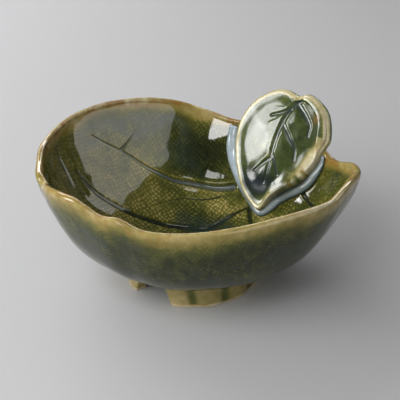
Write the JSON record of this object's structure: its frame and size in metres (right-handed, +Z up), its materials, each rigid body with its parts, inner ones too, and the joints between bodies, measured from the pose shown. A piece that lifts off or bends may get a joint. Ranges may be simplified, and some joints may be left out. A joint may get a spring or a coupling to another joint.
{
  "type": "dip bowl",
  "caption": "Leaf-shaped glazed stoneware dip bowl with a wavy rim, pressed veins, a small leaf as a grip on the wall and a cut, fluted foot ring.",
  "frame": {"origin": "on the table, under the middle of the object's box", "axes": "+X to the right along the bowl's longer side, towards the pointed lobe beside the grip; +Y to the back, where the grip stands; +Z up"},
  "size_m": [0.1496, 0.128, 0.0732],
  "materials": {
    "green_glaze": "glossy olive green glaze over a cloth imprint",
    "leaf_glaze": "glossy green glaze, cream where it thins along the margin",
    "pooled_glaze": "glossy blue grey glaze that pooled in the joint",
    "foot_glaze": "thin straw glaze with green in the flutes, bare clay where it stands"
  },
  "bodies": {
    "root": {"bowl_body": "green_glaze", "handle_leaf": "leaf_glaze", "joint_coil": "pooled_glaze", "front_foot": "foot_glaze", "rear_foot": "foot_glaze"}
  },
  "joints": []
}
